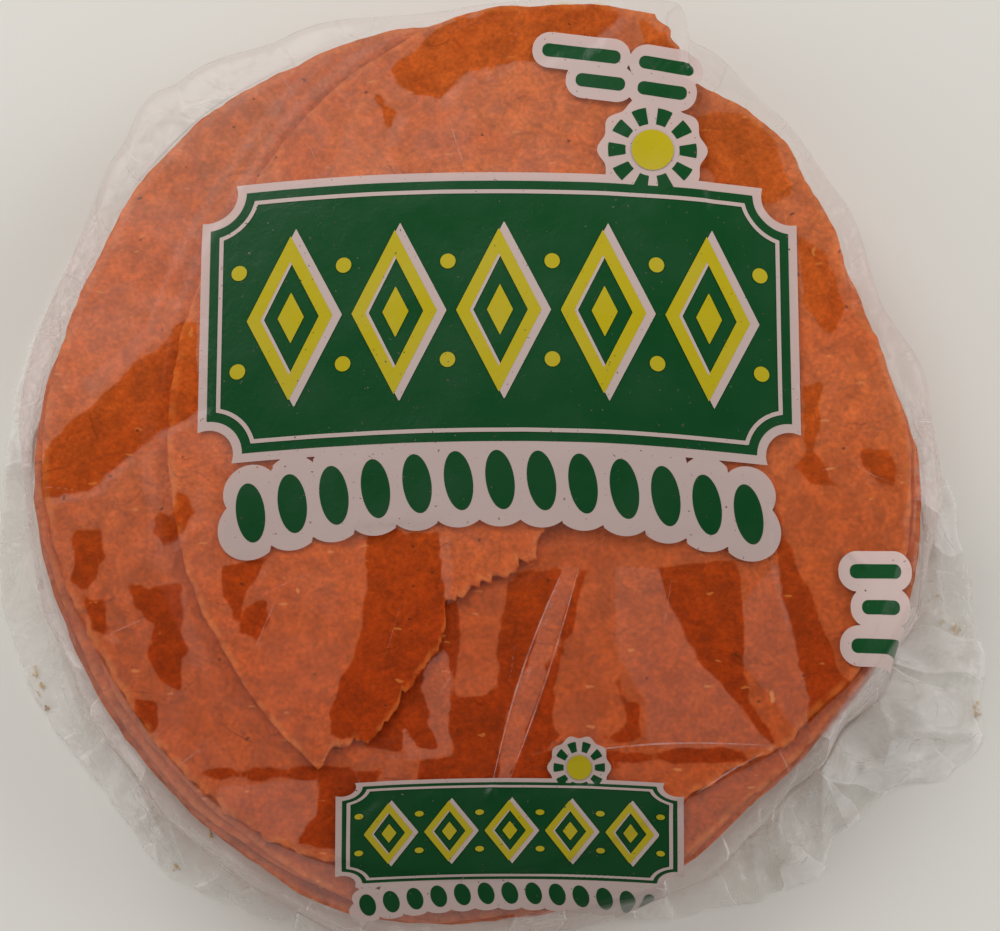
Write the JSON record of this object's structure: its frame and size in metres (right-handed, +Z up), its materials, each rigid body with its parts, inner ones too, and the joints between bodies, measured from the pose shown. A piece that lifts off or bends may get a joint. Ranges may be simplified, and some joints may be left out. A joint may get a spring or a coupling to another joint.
{
  "type": "corn tortilla stack",
  "caption": "Clear film bag holding a fanned stack of round red chilli corn tortillas, the top one torn, its film drawn tight over the top and pleated loosely round the foot.",
  "frame": {"origin": "middle of the bag's box, on the flat underside it lies on", "axes": "+Z up through the stack, +Y to the back of the shown side, +X to its right"},
  "size_m": [0.1738, 0.1632, 0.0278],
  "materials": {
    "film": "clear soft film, glossy, with a milky veil where it stands off the tortillas",
    "tortilla": "matt baked maize dough dyed with red chilli, mottled, oily where the film clings",
    "print_green": "glossy green ink on film",
    "print_white": "glossy white ink on film, slightly see-through",
    "print_yellow": "glossy yellow ink on film",
    "crumbs": "dry crumbs and chilli dust"
  },
  "bodies": {
    "root": {"tortilla_bag": "film"}
  },
  "joints": []
}
